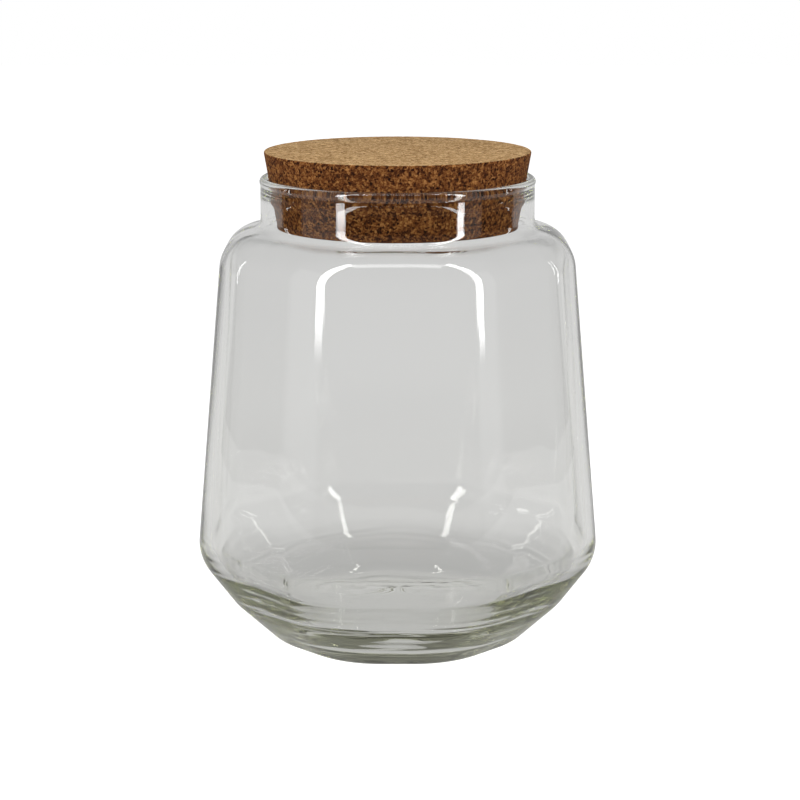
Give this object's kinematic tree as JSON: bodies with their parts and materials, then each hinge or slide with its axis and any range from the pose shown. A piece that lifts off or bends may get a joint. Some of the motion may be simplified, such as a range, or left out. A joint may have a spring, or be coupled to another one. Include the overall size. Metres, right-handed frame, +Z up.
{
  "type": "glass jar with cork lid",
  "caption": "Clear glass storage jar with eight soft flats that widen to a low belly and turn in to a thick heel, a round neck, and a tapered cork stopper that lifts straight out.",
  "frame": {"origin": "middle of the jar's base, on the surface it stands on", "axes": "+Z up along the jar's axis; -Y is the front, square to one of the flats; the stopper lifts along +Z"},
  "size_m": [0.1514, 0.1514, 0.1864],
  "materials": {
    "clear_glass": "smooth, fire-polished",
    "cork": "sanded agglomerated cork granules"
  },
  "bodies": {
    "jar": {"glass_jar": "clear_glass"},
    "stopper": {"cork_stopper": "cork"}
  },
  "joints": [
    {"name": "stopper_lift", "type": "slide", "parent": "jar", "child": "stopper", "axis": [0, 0, 1], "range_m": [0, 0.06]}
  ]
}
